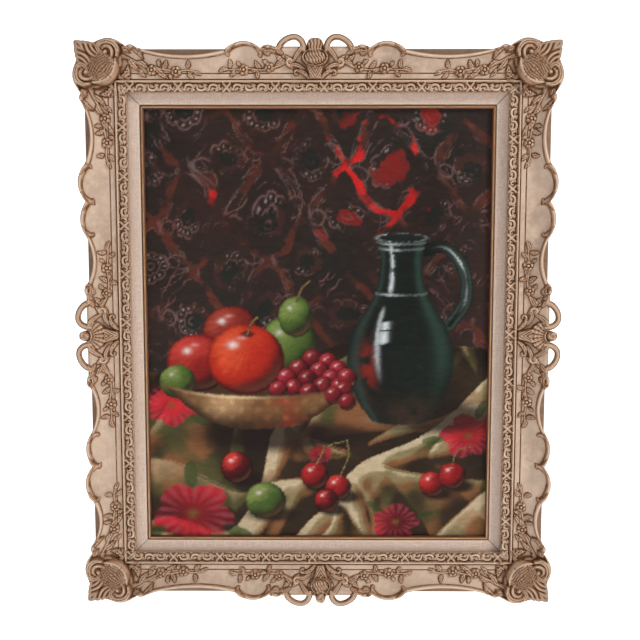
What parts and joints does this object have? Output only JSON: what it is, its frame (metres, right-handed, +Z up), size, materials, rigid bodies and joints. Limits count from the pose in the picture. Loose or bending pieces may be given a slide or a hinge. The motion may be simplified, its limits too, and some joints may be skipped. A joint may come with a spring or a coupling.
{
  "type": "framed acrylic painting",
  "caption": "Upright picture on stretched canvas in a carved, swept cream frame with a linen liner and a gilt slip, to hang on a wall.",
  "frame": {"origin": "on the back face of the top rail, at the middle of the frame's width, where the frame bears on the wall", "axes": "+Z up, +X to the right as the picture is looked at, +Y into the wall; the picture faces -Y"},
  "size_m": [0.5544, 0.0445, 0.6563],
  "materials": {
    "carved_frame": "antique cream paint over gesso, brown patina in the hollows, rubbed bronze-gold on the high carving",
    "linen_liner": "plain greyish-beige linen, glued over wood",
    "gilt_slip": "worn orange-gold leaf",
    "painted_canvas": "acrylic paint, satin, on cotton canvas",
    "stretcher_wood": "bare pine"
  },
  "bodies": {
    "root": {"frame_rail_top": "carved_frame", "frame_rail_right": "carved_frame", "frame_rail_bottom": "carved_frame", "frame_rail_left": "carved_frame", "liner_top": "linen_liner", "liner_right": "linen_liner", "liner_bottom": "linen_liner", "liner_left": "linen_liner", "gilt_slip_top": "gilt_slip", "gilt_slip_right": "gilt_slip", "gilt_slip_bottom": "gilt_slip", "gilt_slip_left": "gilt_slip", "canvas": "painted_canvas", "stretcher_top": "stretcher_wood", "stretcher_right": "stretcher_wood", "stretcher_bottom": "stretcher_wood", "stretcher_left": "stretcher_wood"}
  },
  "joints": []
}
